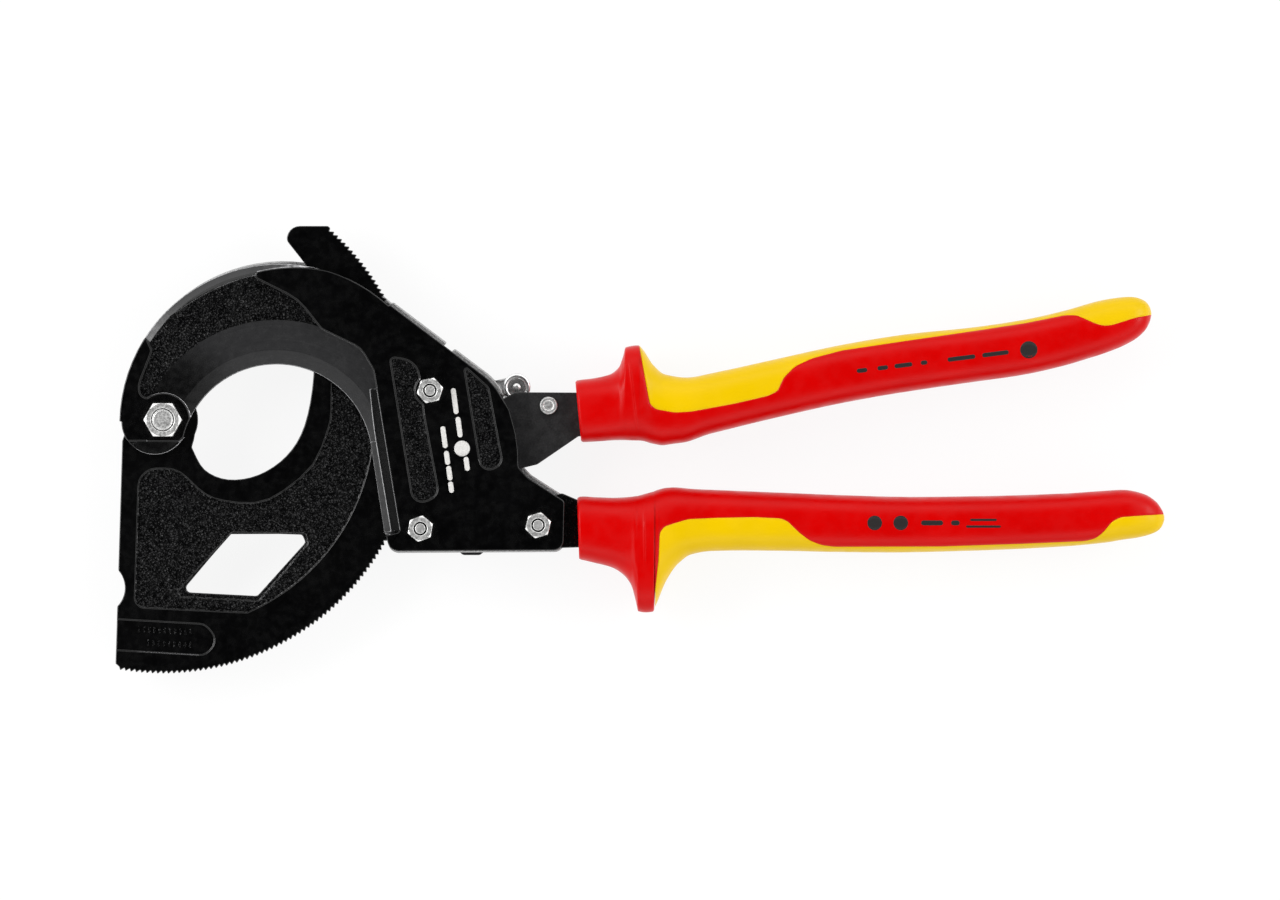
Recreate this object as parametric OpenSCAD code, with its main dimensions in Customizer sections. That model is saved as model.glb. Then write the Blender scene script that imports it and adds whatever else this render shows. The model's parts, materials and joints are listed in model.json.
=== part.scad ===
// Ratchet cable cutter, lying flat with its front face up.
// All outlines are drawn about the blade pivot; placed() moves them so that the
// origin is under the middle of the whole tool, on the surface it lies on.

/* [Blade] */
// Radius of the ratchet tooth crests about the blade pivot
sector_r = 76.3; // [72:0.1:95]
// Angle between two ratchet teeth
tooth_pitch = 1.21; // [1.1:0.01:1.5]
// Depth of the ratchet teeth
tooth_h = 1.0; // [0.6:0.1:1.3]
// Number of ratchet teeth
tooth_n = 124; // [90:1:126]
// Thickness of the moving blade
blade_t = 5.0; // [4:0.1:6.5]
// Depth of the textured panel in the blade
blade_panel_d = 0.9; // [0.4:0.1:1.4]

/* [Frame plates] */
// Radius of the cutting hole in the front frame
bite_r = 28.65; // [24:0.05:30]
// Thickness of the rear cover
cover_t = 4.9; // [4.5:0.1:7]
// Thickness of the rear cover's flat outer wall
cover_wall = 2.0; // [1.6:0.1:2.4]
// Thickness of the back frame plate
back_t = 4.5; // [4.3:0.1:6]
// Thickness of the front frame plate under its raised body
front_t = 4.0; // [3.6:0.1:5]
// Height of the raised body above the blade's side of the front frame
body_t = 6.5; // [6:0.1:8]
// Free space on each side of the moving pieces between the frames
side_gap = 0.1; // [0.05:0.01:0.2]

/* [Fasteners] */
// Radius of the pivot bolt
pivot_bolt_r = 3.0; // [2.5:0.1:3.2]
// Radius of the three frame bolts
frame_bolt_r = 2.0; // [1.6:0.1:2.1]
// Outer radius of the pivot bush that the blade turns on
bush_r = 5.0; // [4.4:0.1:6]
// Radius of the handle lever's pin
lever_pin_r = 3.2; // [2.6:0.1:3.5]
// Radial running clearance of every turning fit
run_fit = 0.05; // [0.02:0.01:0.1]

/* [Handles] */
// Length of the upper grip
upper_grip_l = 172.1; // [140:0.1:205]
// Length of the lower grip
lower_grip_l = 176.0; // [145:0.1:210]
// Thickness of both grips at the hand guard
grip_t = 24.0; // [22:0.1:24]
// Distance from the lever pin to the tip of the drive pawl
pawl_arm = 10.0; // [9:0.1:11]
// Angle that the handle turns from open to squeezed
stroke = 10.8; // [9:0.1:11]

/* [Hidden] */
$fn = 48;
e = 0.01;

// Levels above the surface, from the rear cover to the front
z_back = cover_t;
z_gap = z_back + back_t;
gap = blade_t + 2 * side_gap;
z_mid = z_gap + gap / 2;
z_front = z_gap + gap;
z_panel = z_front + front_t;
z_rim = z_panel + 0.8;
z_pad = z_panel + 1.1;
z_body = z_front + body_t;
z_moving = z_gap + side_gap;

// The body to the right of the hole moves with the tooth radius
dx = sector_r - 76.3;
bolt_up = [80.1 + dx, 8.8];
bolt_low = [77.2 + dx, -32.6];
bolt_right = [112.5 + dx, -31.6];
bolts = [bolt_up, bolt_low, bolt_right];
bolt_turns = [12, 21, 17];
bolt_hole_r = frame_bolt_r + 0.1;

// Hoop, boss and cutting hole of the frame plates
bite_c = [33.9, -12];
hoop_c = [35.1, -1.35];
hoop_r = 48.2;
boss_c = [-2.6, -0.55];
boss_r = 9.9;
strip_top = [62.05, -6.6];
strip_low = [66.3, -33.9];
back_shift = 0.85;

// Handle lever and drive pawl; from_lever() counts from the lever pin, away from the blade first
pawl_gap = 0.3;
lever_a = -6;
lever_c = (sector_r + pawl_gap + pawl_arm) * [cos(lever_a), sin(lever_a)];
half_stroke = stroke / 2;
pawl_heel_r = 2.4;
function from_lever(radial, tangential) =
  lever_c + turned([radial, tangential], lever_a + half_stroke);
drive_heel = from_lever(-4.2, -7.0);
drive_tip = from_lever(-pawl_arm, 0);

// Holding pawl and the release lever behind the back frame
sleeve_r = frame_bolt_r + 1.0;
hold_a = -17;
hold_tip = (sector_r + pawl_gap) * [cos(hold_a), sin(hold_a)];
stud_c = bolt_low + 8 * [cos(25), sin(25)];
stud_r = 1.2;
release_c = stud_c + [7.9, 1.35];
release_z = cover_wall + 0.2;
release_t = cover_t - cover_wall - 0.4;
release_pin_r = 1.8;
release_pin_z = 0.8;
release_pin_d = 2.5;

// Socket head bolts of the frame, in counterbores of the rear cover
bolt_head_r = 3.5;
bolt_head_z = 0.3;
bolt_head_h = 2.3;

// Hexagon nuts on the front, and the ring that stays open round the end of each bolt
pivot_nut_across = 10;
pivot_nut_h = 5;
frame_nut_across = 7;
frame_nut_h = 3.2;
open_ring = 0.45;
open_ring_d = 0.6;

// Spring of the handles
coil_c = [106 + dx, 9.8];
coil_r = 3.4;
wire_r = 0.8;
spring_pin_r = 1.1;
rivet_c = [115.6 + dx, 4.3];
rivet_r = 1.6;
stop_c = [92.6 + dx, 6.1];
stop_r = 1.8;
dowel_c = [95 + dx, -33];
dowel_r = 2.0;
pin_depth = 2.8;
ear_t = 1.0;

// Grips: where they start, and how far from there their outlines keep their shape
grip_x = 124.5 + dx;
guard_l = 40;

// Extent of the whole tool about the blade pivot
x_low = -14.4;
x_high = grip_x + lower_grip_l;
y_low = -sector_r;
y_high = 58.2 + 0.76 * dx;

// ---- helpers ----

function polar(r, a) = [r * cos(a), r * sin(a)];
function unit(v) = v / norm(v);
function turned(p, a) = [p.x * cos(a) - p.y * sin(a), p.x * sin(a) + p.y * cos(a)];
function wrap(a) = a > 180 ? a - 360 : a < -180 ? a + 360 : a;

// Points of an arc
function arc(c, r, from, to, n = 12) = [for (i = [0:n]) c + polar(r, from + (to - from) * i / n)];

// Points of one rounded corner at q, between the neighbours p and s
function corner(p, q, s, r) = r == 0 ? [q] :
  let (u = unit(p - q), v = unit(s - q), half = acos(u * v) / 2)
  let (c = q + unit(u + v) * r / sin(half), t = r / tan(half))
  let (a = q + u * t - c, b = q + v * t - c, from = atan2(a.y, a.x))
  let (sweep = wrap(atan2(b.y, b.x) - from), n = max(2, ceil(abs(sweep) / 18)))
  [for (i = [0:n]) c + polar(r, from + sweep * i / n)];

// An outline from corners [x, y, radius]
function rounded(pts) = let (n = len(pts)) [
  for (i = [0:n - 1])
    let (p = pts[(i + n - 1) % n], q = pts[i], s = pts[(i + 1) % n])
    each corner([p.x, p.y], [q.x, q.y], [s.x, s.y], q[2])
];

// An open run of corners: its two ends stay sharp
function run(pts) = let (n = len(pts)) [
  for (i = [0:n - 1])
    let (p = pts[max(i - 1, 0)], q = pts[i], s = pts[min(i + 1, n - 1)])
    each i == 0 || i == n - 1 ? [[q.x, q.y]] : corner([p.x, p.y], [q.x, q.y], [s.x, s.y], q[2])
];

function without_first(pts) = [for (i = [1:len(pts) - 1]) pts[i]];

// A smooth curve through the given points, of any dimension
function blend(a, b, c, d, t) = 0.5 * (2 * b + (c - a) * t + (2 * a - 5 * b + 4 * c - d) * t * t
  + (3 * b - a - 3 * c + d) * t * t * t);
function smooth(pts, n) = let (last = len(pts) - 1) [
  for (i = [0:last - 1], k = [0:n - 1])
    blend(pts[max(i - 1, 0)], pts[i], pts[i + 1], pts[min(i + 2, last)], k / n),
  pts[last]
];

module placed() {
  translate([-(x_low + x_high) / 2, -(y_low + y_high) / 2, 0]) children();
}

// A flat shape, always turned the same way round
function swept_area(pts) = let (n = len(pts))
  [for (i = [0:n - 1]) cross(pts[i], pts[(i + 1) % n])] * [for (p = pts) 1];
function counterclockwise(pts) = swept_area(pts) > 0 ? pts : [for (i = [len(pts) - 1:-1:0]) pts[i]];

module flat(pts) {
  polygon(counterclockwise(pts));
}

module slab(z, t) {
  translate([0, 0, z]) linear_extrude(t) children();
}

module post(c, r, z, h) {
  translate([c.x, c.y, z]) cylinder(r = r, h = h);
}

// A slot with round ends at a and b
module round_slot(a, b, r) {
  d = b - a;
  turn = atan2(d.y, d.x);
  flat(concat(arc(b, r, turn - 90, turn + 90), arc(a, r, turn + 90, turn + 270)));
}

// A hexagon prism given by its width across flats, with chamfered corners
module hex_prism(c, across, z, h, turn, chamfer_low, chamfer_high) {
  corner_r = across / sqrt(3);
  slope = 0.5;
  flat_r = across / 2 * 0.98;
  translate([c.x, c.y, z]) intersection() {
    rotate([0, 0, turn]) cylinder(r = corner_r, h = h, $fn = 6);
    rotate_extrude($fn = 64) flat([
      [0, 0],
      [chamfer_low ? flat_r : corner_r + 1, 0],
      [corner_r + 1, chamfer_low ? (corner_r + 1 - flat_r) * slope : 0],
      [corner_r + 1, h - (chamfer_high ? (corner_r + 1 - flat_r) * slope : 0)],
      [chamfer_high ? flat_r : corner_r + 1, h],
      [0, h]
    ]);
  }
}

// Shifts a profile drawn as [across, height] along the line from a to b
module along(a, b, extra = 0) {
  d = b - a;
  translate([a.x, a.y, 0]) rotate([0, 0, atan2(d.y, d.x)]) translate([-extra, 0, 0])
    rotate([90, 0, 90]) linear_extrude(norm(d) + 2 * extra) children();
}

// A wire swept along points, with a ring of sides at each
module wire(path, r, sides = 8) {
  n = len(path);
  up = [0, 0, 1];
  function ahead(i) = unit(path[min(i + 1, n - 1)] - path[max(i - 1, 0)]);
  function side_of(i) = unit(cross(ahead(i), up));
  rings = [
    for (i = [0:n - 1], k = [0:sides - 1])
      let (a = 360 * k / sides, s = side_of(i))
      path[i] + r * (cos(a) * s + sin(a) * cross(s, ahead(i)))
  ];
  walls = [
    for (i = [0:n - 2], k = [0:sides - 1])
      let (a = i * sides + k, b = i * sides + (k + 1) % sides)
      each [[a, b, b + sides], [a, b + sides, a + sides]]
  ];
  caps = [[for (k = [sides - 1:-1:0]) k], [for (k = [0:sides - 1]) (n - 1) * sides + k]];
  polyhedron(rings, concat(walls, caps), convexity = 6);
}

// ---- frame plates ----

// Outline of both frame plates; shift moves its outer edges outwards
function frame_outline(shift) =
  let (s = [shift, shift], r = [dx, 0], drop = 0.7 * shift)
  let (right = [
    [97.6, 12.2, 14], [104.9, 3.4, 26], [106.5, -9.5, 10], [106.5, -14.2, 3],
    [109.5, -17.4, 4], [120.4, -24.4, 1.6]
  ])
  let (low = [[120.1, -39.1 - drop, 3], [68.0, -39.4 - drop, 3.2], [66.9, -34.7, 0.8]])
  concat(
    arc(hoop_c + s, hoop_r, 179, 47.4, 30),
    [for (p = run(concat(
      [[68.1, 34.5, 0] + [shift, shift, 0]],
      [for (q = right) q + [shift, shift, 0]],
      low,
      [[strip_low.x, strip_low.y, 0], [strip_top.x, strip_top.y, 0]]
    ))) p + r * max(0, min(1, (p.x - 45) / 17))],
    [bite_c, boss_c]
  );

module frame_shape(shift, hole_r) {
  difference() {
    union() {
      flat(frame_outline(shift));
      translate(boss_c) circle(r = boss_r, $fn = 96);
    }
    translate(bite_c) circle(r = hole_r, $fn = 144);
  }
}

// The part of the frame to the right of the hole, which the rear cover matches
module body_shape(shift, left) {
  intersection() {
    flat(frame_outline(shift));
    flat([[left.x, 60], [left.x + 6, -4], [left.x + 10, -60], [200, -60], [200, 60]]);
  }
}

// Bevel that is ground along the hole, as [distance from the edge, height]
bevel_profile = [[-1.7, 0.3], [0, 0.3], [4.25, 1.7], [13.4, front_t + e], [13.4, 9], [-1.7, 9]];

module bevel_cut() {
  translate([bite_c.x, bite_c.y, z_front]) rotate_extrude($fn = 144)
    flat([for (p = bevel_profile) [bite_r + p.x, p.y]]);
  translate([dx, 0, z_front]) along(strip_top, strip_low) flat(bevel_profile);
}

// Outer border of the hoop, above the textured panel
module rim() {
  slab(z_front, z_rim - z_front) intersection() {
    difference() {
      frame_shape(0, bite_r);
      translate([40.6, -15.2]) circle(r = 60, $fn = 144);
    }
    translate([-20, 24]) square([50, 40]);
  }
}

// Slope along the outer edge of the hoop
module rim_slope_cut() {
  slope_w = 4.2;
  translate([hoop_c.x, hoop_c.y, z_front]) rotate_extrude($fn = 144)
    flat([
      [hoop_r - slope_w, front_t + 1.2], [hoop_r + 0.1, front_t - 1.2], [hoop_r + 2, front_t - 1.2],
      [hoop_r + 2, front_t + 5], [hoop_r - slope_w, front_t + 5]
    ]);
}

// Raised pad under the pivot nut
module pivot_pad() {
  slab(z_front, z_pad - z_front) difference() {
    intersection() {
      frame_shape(0, bite_r);
      union() {
        flat(rounded([
          [-20, -6.3, 0], [-20, 24.6, 0], [-5.2, 24.6, 1], [-3.4, 20.8, 2], [-7.4, 10.5, 6],
          [-6.9, 6.5, 2.5], [3, 6.3, 0], [3, -6.3, 0]
        ]));
        circle(r = 8, $fn = 64);
      }
    }
    translate([-20, -26.4]) square([40, 20]);
  }
}

body_left = [
  [31.5, 45.1, 1], [28.3, 44.5, 1.3], [27.2, 42.9, 1.2], [40.5, 36.3, 16], [47.6, 27.3, 2.5],
  [59.3, 21.6, 7], [63.2, 15, 6], [71.3, -33.6, 1.2], [66.9, -34.7, 0.8], [60, -50, 0]
];

// Raised body on the right of the front frame
module raised_body() {
  slab(z_front, z_body - z_front) intersection() {
    frame_shape(0, bite_r);
    flat([for (p = rounded(concat(body_left, [[200, -50, 0], [200, 60, 0], [31.5, 60, 0]])))
      p + [dx * max(0, min(1, (p.x - 28) / 32)), 0]]);
    // its tip stays inside the sloped edge of the hoop
    union() {
      translate(hoop_c + [4.4, 0]) circle(r = hoop_r - 1.14, $fn = 144);
      translate([50, -60]) square([200, 120]);
    }
  }
  translate([dx, 0, z_front]) along([64.1, 9.4], [71.1, -33.2])
    flat([[1, 0], [-2.8, 0], [-2.8, 0.9], [0, body_t], [1, body_t]]);
}

// Two sunk panels in the raised body
module body_panels() {
  slab(z_body - 0.6, 2) translate([dx, 0]) union() {
    difference() {
      flat(rounded([
        [68.0, 18.9, 1.2], [76.4, 17.6, 6], [78.4, 1, 0], [82.8, -22.6, 3.4], [75.2, -26.2, 3.4]
      ]));
      translate(bolt_up - [dx, 0]) circle(r = 4.6);
    }
    flat(rounded([[90.2, 16.4, 0.6], [97.6, 9.6, 1.5], [101.9, -13.2, 3], [95.6, -16.4, 3]]));
  }
}

module front_frame() {
  color([0.07, 0.07, 0.075]) placed() difference() {
    union() {
      difference() {
        union() {
          slab(z_front, front_t) frame_shape(0, bite_r);
          rim();
        }
        bevel_cut();
        rim_slope_cut();
      }
      pivot_pad();
      raised_body();
    }
    body_panels();
    post([0, 0], pivot_bolt_r + 0.1, z_front - 1, 20);
    for (c = bolts) post(c, bolt_hole_r, z_front - 1, 20);
    post(lever_c, lever_pin_r + e, z_front - 1, pin_depth + 1);
    post(stop_c, stop_r + e, z_front - 1, pin_depth + 1);
    post(dowel_c, dowel_r + e, z_front - 1, pin_depth + 1);
  }
}

// Slot that the holding pawl's stud swings in
module stud_slot(z, h) {
  slab(z, h) round_slot(bolt_low + turned(stud_c - bolt_low, -9), bolt_low + turned(stud_c - bolt_low, 1),
    stud_r + 0.45);
}

module back_frame() {
  color([0.09, 0.09, 0.095]) placed() difference() {
    union() {
      slab(z_back, back_t) frame_shape(back_shift, bite_r + 1.3);
      post(coil_c, coil_r + 0.3, z_back, ear_t);
      slab(z_back, ear_t)
        flat([coil_c + [-8, -9], coil_c + [1, -4], coil_c + [-2, 3.1], coil_c + [-8, 1.6]]);
    }
    post(coil_c, coil_r + wire_r + 0.35, z_back + ear_t, 20);
    post(coil_c, spring_pin_r + e, z_back - 1, 20);
    translate([coil_c.x - 6.4, coil_c.y - coil_r - wire_r - 0.2, z_back + ear_t])
      cube([6, 2 * wire_r + 0.4, 20]);
    translate([84.6 + dx, 20.6, z_back - 1]) rotate([0, 0, -43]) translate([-1.5, -1.2, 0])
      cube([3, 6, 20]);
    post([0, 0], pivot_bolt_r + 0.1, z_back - 1, 20);
    for (c = bolts) post(c, bolt_hole_r, z_back - 1, 20);
    post(lever_c, lever_pin_r + e, z_gap - pin_depth, 20);
    post(stop_c, stop_r + e, z_gap - pin_depth, 20);
    post(dowel_c, dowel_r + e, z_gap - pin_depth, 20);
    post(release_c, release_pin_r + e, z_back - 1, release_pin_d + 1);
    stud_slot(z_back - 1, 20);
  }
}

// Room for the release lever inside the rear cover
module cover_room() {
  slab(cover_wall, cover_t) translate([dx, 0]) flat(rounded([
    [80.8, -25.2, 1.5], [96.5, -22.2, 3], [98.6, -28, 2], [98.6, -41.5, 0], [86.6, -41.5, 0],
    [86.4, -35.2, 2], [80.8, -34.4, 1.5]
  ]));
}

module rear_cover() {
  color([0.08, 0.08, 0.085]) placed() difference() {
    slab(0, cover_t) body_shape(0, [58 + dx, 0]);
    difference() {
      cover_room();
      post(bolt_low, bolt_head_r + 1.4, 0, cover_t + 9);
    }
    slab(cover_wall, cover_t) translate([dx, 0]) flat(rounded([
      [69.5, 18, 2], [74.6, 20.5, 2], [74.4, 1.5, 3], [84, -4, 3], [99, 0, 3], [103.6, -8, 3],
      [104, -15, 3], [98, -19.0, 3], [82, -21.2, 3], [74.5, -21.6, 3]
    ]));
    for (c = bolts) {
      post(c, bolt_hole_r, -1, 20);
      post(c, bolt_head_r + 0.2, -1, bolt_head_z + bolt_head_h + 1);
    }
    post(release_c, release_pin_r + e, release_pin_z, 20);
    post(coil_c, coil_r + wire_r + 0.6, -1, 20);
  }
}

// ---- moving blade ----

// One tooth seen along the pitch: root, long flank to the crest, short flank back
function teeth() = [
  for (i = [0:tooth_n - 1])
    let (a = 49 - tooth_pitch * i)
    each [polar(sector_r, a), polar(sector_r - tooth_h, a - 0.26 * tooth_pitch)]
];

blade_edge = [
  [8.5, -8.2], [12.3, -14.9], [19.4, -17.9], [28.5, -16.5], [36.9, -10.8], [42.3, -1.7],
  [45, 13.2], [44.6, 30], [43, 46.2]
];

module blade_shape() {
  difference() {
    union() {
      flat(concat(
        [[x_low, 3.1 - sector_r], [-12.4, -6.3], [-10.2, 0], [0, 0], [9.9, -1.5], [9.2, -5.8]],
        smooth(blade_edge, 4),
        without_first(run([
          [43, 46.2], [36.9 + 0.66 * dx, 53.9 + 0.76 * dx, 2.2], [37.6 + 0.66 * dx, y_high, 3.9],
          [49.4 + 0.66 * dx, y_high]
        ])),
        teeth()
      ));
      circle(r = 10.4, $fn = 96);
    }
    translate([-19.5, -50.4]) circle(r = 7.9, $fn = 64);
    flat(rounded([
      [20.4, -33.8, 1.4], [41.6, -34.5, 1], [42.6, -36.8, 1], [28.1, -52.9, 1.6], [5.3, -51.7, 1.4]
    ]));
  }
}

// Sunk textured panel of the blade
module blade_panel() {
  flat(concat(
    arc([0, 0], sector_r - 13.2, 16, -66.5, 24),
    run([
      [24.2, -57.85], [-8.7, -56.3, 3], [-7.4, -14.6, 5.5], [4.2, -14.6, 9],
      [13.4, -23.6, 14], [30, -26, 18], [45.6, -14.0, 20], [50.4, 0, 18], [50.6, 17, 3], [56, 20]
    ])
  ));
}

module blade_window_rim() {
  flat(rounded([
    [20.4, -33.8, 1.4], [42.6, -34.0, 1], [43.4, -37.2, 1], [28.6, -54.4, 1.6], [3.6, -53.1, 1.4],
    [4.6, -51, 0.5]
  ]));
}

module blade_tag() {
  translate([0, -dx]) flat(rounded([
    [-18, -59.6, 0], [12.4, -61.3, 4], [16.8, -66.3, 4], [12.4, -70.7, 4], [-18, -68.9, 0]
  ]));
}

module moving_blade() {
  top = z_moving + blade_t;
  color([0.06, 0.06, 0.065]) placed() difference() {
    slab(z_moving, blade_t) blade_shape();
    slab(top - blade_panel_d, 3) blade_panel();
    slab(top - blade_panel_d - 0.6, 3) blade_window_rim();
    slab(top - 0.5, 3) blade_tag();
    // bevel on the rear side of the cutting edge
    translate([21.6, -2.7, z_moving - e]) cylinder(r1 = 24, r2 = 15, h = blade_t - 0.4, $fn = 96);
    post([0, 0], bush_r + run_fit, 0, 40);
  }
}

// ---- pivot and fasteners ----

module pivot_bush() {
  color("silver") placed() difference() {
    post([0, 0], bush_r, z_gap, gap);
    post([0, 0], pivot_bolt_r + 0.02, 0, 40);
  }
}

module pivot_bolt() {
  nut_top = z_pad + pivot_nut_h;
  color("silver") placed() {
    hex_prism([0, 0], pivot_nut_across, z_back - 4, 4, 0, true, false);
    post([0, 0], pivot_bolt_r, z_back - e, nut_top + 0.1 - z_back);
    translate([0, 0, nut_top + 0.1 - 2 * e])
      cylinder(r1 = pivot_bolt_r, r2 = pivot_bolt_r - 0.25, h = 0.25);
  }
}

module pivot_nut() {
  color("silver") placed() difference() {
    hex_prism([0, 0], pivot_nut_across, z_pad, pivot_nut_h, 0, false, true);
    post([0, 0], pivot_bolt_r + 0.02, 0, 40);
    post([0, 0], pivot_bolt_r + open_ring, z_pad + pivot_nut_h - open_ring_d, 1);
  }
}

module frame_bolts() {
  head_top = bolt_head_z + bolt_head_h;
  thread_top = z_body + frame_nut_h - open_ring_d;
  color("silver") placed() for (c = bolts) difference() {
    union() {
      post(c, bolt_head_r, bolt_head_z, bolt_head_h);
      post(c, frame_bolt_r, head_top - e, thread_top - head_top + e);
      post(c, frame_bolt_r - open_ring, thread_top - e, open_ring_d + 0.3 + e);
    }
    translate([c.x, c.y, 0]) cylinder(r = 1.45, h = 1.8, $fn = 6);
  }
}

module frame_nuts() {
  color("silver") placed() for (i = [0:2]) difference() {
    hex_prism(bolts[i], frame_nut_across, z_body, frame_nut_h, bolt_turns[i], false, true);
    post(bolts[i], frame_bolt_r + 0.02, 0, 40);
  }
}

module spacer_sleeves() {
  color("silver") placed() for (c = [bolt_up, bolt_low]) difference() {
    post(c, sleeve_r, z_gap, gap);
    post(c, frame_bolt_r + 0.05, 0, 40);
  }
}

// ---- handle lever and drive pawl ----

// Centre line and half width of the steel core of a handle, inside its grip
upper_core = [
  [-2, 1.6, 6.6], [0, 1.6, 6.6], [16, 2.6, 6.4], [30, 3.4, 5], [78, 12.6, 4.4], [120, 20.2, 3.6]
];
lower_core = [
  [-2, -31.2, 7.1], [0, -31.2, 7.1], [16, -31.6, 7.0], [30, -30.8, 5.4], [90, -31.4, 4.6],
  [126, -31.0, 3.6]
];

function core_outline(core, full, length, fit) = concat(
  [for (p = core) [grip_x + stretched(p.x, full, length), p.y + p[2] + fit]],
  [for (i = [len(core) - 1:-1:0])
    [grip_x + stretched(core[i].x, full, length), core[i].y - core[i][2] - fit]]
);
function upper_core_outline(fit) = core_outline(upper_core, full_length(upper_stations), upper_grip_l, fit);
function lower_core_outline(fit) = core_outline(lower_core, full_length(lower_stations), lower_grip_l, fit);

module lever_shape() {
  difference() {
    union() {
      translate(lever_c) circle(r = 9.6, $fn = 96);
      translate(drive_heel) circle(r = 4.7, $fn = 64);
      flat(concat(
        [lever_c + [0, 9.4]],
        [for (p = rounded([
          [88, 1.2, 0], [94, 4.4, 6], [101.5, 6.1, 4], [105.5, 8.3, 4], [grip_x - dx, 8.2, 0],
          [grip_x - dx, -5.0, 0], [112.2, -13.4, 2], [108.5, -14.3, 4], [98, -16.6, 10], [88, -18, 0]
        ])) p + [dx, 0]],
        [lever_c + [2, -9.4]]
      ));
      flat(upper_core_outline(0));
    }
    translate(drive_heel) circle(r = pawl_heel_r + run_fit, $fn = 64);
    // room for the drive pawl between the lever and the teeth
    flat([
      drive_heel, from_lever(-2.4, -4.9), from_lever(-3.7, -2.6), from_lever(-4.9, 1.2), from_lever(-5.4, 6),
      from_lever(-12, 9), from_lever(-14, -6), from_lever(-7.8, -8.4)
    ]);
    circle(r = sector_r + 0.5, $fn = 180);
  }
}

module handle_lever() {
  color([0.16, 0.16, 0.17]) placed() difference() {
    slab(z_moving, blade_t) lever_shape();
    post(lever_c, lever_pin_r + run_fit, 0, 40);
    post(rivet_c, rivet_r + e, 0, 40);
  }
}

module lever_pin() {
  color("silver") placed() post(lever_c, lever_pin_r, z_gap - pin_depth, gap + 2 * pin_depth);
}

module lever_rivet() {
  top = z_moving + blade_t;
  head_h = 0.8;
  color("silver") placed() difference() {
    union() {
      post(rivet_c, rivet_r, z_moving - 3.0, blade_t + 3.0 + e);
      translate([rivet_c.x, rivet_c.y, top]) cylinder(r1 = 2.75, r2 = 2.5, h = head_h);
    }
    post(rivet_c, 1.5, top + head_h - 0.2, 1);
  }
}

module drive_pawl() {
  color([0.5, 0.5, 0.52]) placed() slab(z_moving + 0.1, blade_t - 0.2) {
    translate(drive_heel) circle(r = pawl_heel_r, $fn = 64);
    flat([
      drive_heel + turned([-1.9, -0.4], half_stroke), from_lever(-9.3, -3.0),
      from_lever(-pawl_arm + 0.04, -2.2), drive_tip, from_lever(-6.6, 0.4), from_lever(-5.6, -2.6),
      drive_heel + turned([1.4, 1.6], half_stroke)
    ]);
  }
}

module drive_pawl_spring() {
  h = z_mid;
  a = from_lever(-5.6, 4.77);
  b = from_lever(-6.3, 3.4);
  c = from_lever(-6.3, 0.9);
  color("silver") placed() wire([for (p = smooth([a, b, c], 4)) [p.x, p.y, h]], 0.3);
}

// ---- holding pawl and release ----

module holding_pawl() {
  up = unit(hold_tip);
  along_teeth = [-up.y, up.x];
  color([0.5, 0.5, 0.52]) placed() {
    difference() {
      slab(z_moving + 0.1, blade_t - 0.2) {
        translate(bolt_low) circle(r = 5.0, $fn = 64);
        translate(stud_c) circle(r = 2.4, $fn = 48);
        flat([
          bolt_low + [-4.8, 1.4], hold_tip - 2.4 * along_teeth + 0.1 * up, hold_tip,
          hold_tip + 3.4 * up - 0.6 * along_teeth, bolt_low + [4.9, 1.0]
        ]);
        flat([bolt_low + [0, 5.0], stud_c + [-0.9, 2.2], stud_c + [1.0, -2.2], bolt_low + [2, -4.6]]);
      }
      post(bolt_low, sleeve_r + run_fit, 0, 40);
    }
    post(stud_c, stud_r, release_z + 0.2, z_moving + 1 - release_z);
  }
}

module holding_pawl_spring() {
  a = bolt_low + [11.1, 1.6];
  b = bolt_low + [9.6, 6.4];
  c = bolt_low + [2.8, 6.2];
  color("silver") placed() wire([for (p = smooth([a, b, c], 4)) [p.x, p.y, z_mid]], 0.3);
}

module release_lever() {
  release_play = 0.5 * unit(release_c - stud_c);
  color([0.2, 0.2, 0.21]) placed() difference() {
    slab(release_z, release_t) {
      translate(release_c) circle(r = 3.6, $fn = 64);
      translate(stud_c) circle(r = 2.6, $fn = 48);
      flat([release_c + [0, 3.5], stud_c + [0.3, 2.5], stud_c + [0.6, -2.5], release_c + [0, -3.5]]);
      flat([for (p = rounded([
        [-3.4, 0, 0], [2.8, 0, 0], [1.2, -10.0, 0], [4.2, -11.4, 0.4], [2.6, -12.8, 1.4],
        [-2.6, -12.8, 1.4], [-4.0, -11.4, 0.4]
      ])) release_c + p]);
    }
    post(release_c, release_pin_r + run_fit, 0, 40);
    slab(0, 40) round_slot(stud_c - release_play, stud_c + release_play, stud_r + 0.3);
  }
}

module release_pin() {
  color("silver") placed()
    post(release_c, release_pin_r, release_pin_z, z_back + release_pin_d - release_pin_z);
}

// ---- fixed handle ----

module fixed_tang() {
  color([0.07, 0.07, 0.075]) placed() difference() {
    slab(z_gap, gap) {
      flat([for (p = rounded([
        [88.6, -37.6, 1.5], [88.6, -28.0, 2], [96, -25.6, 4], [110, -24.6, 6], [119.6, -22.0, 1.5],
        [grip_x - dx, -24.1, 0], [grip_x - dx, -38.3, 0], [118, -38.5, 2]
      ])) p + [dx, 0]]);
      flat(lower_core_outline(0));
    }
    post(bolt_right, bolt_hole_r, 0, 40);
    post(dowel_c, dowel_r + e, 0, 40);
  }
}

module tang_dowel() {
  color("silver") placed() post(dowel_c, dowel_r, z_gap - pin_depth, gap + 2 * pin_depth);
}

module stop_pin() {
  color("silver") placed() post(stop_c, stop_r, z_gap - pin_depth, gap + 2 * pin_depth);
}

// ---- handle spring ----

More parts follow.
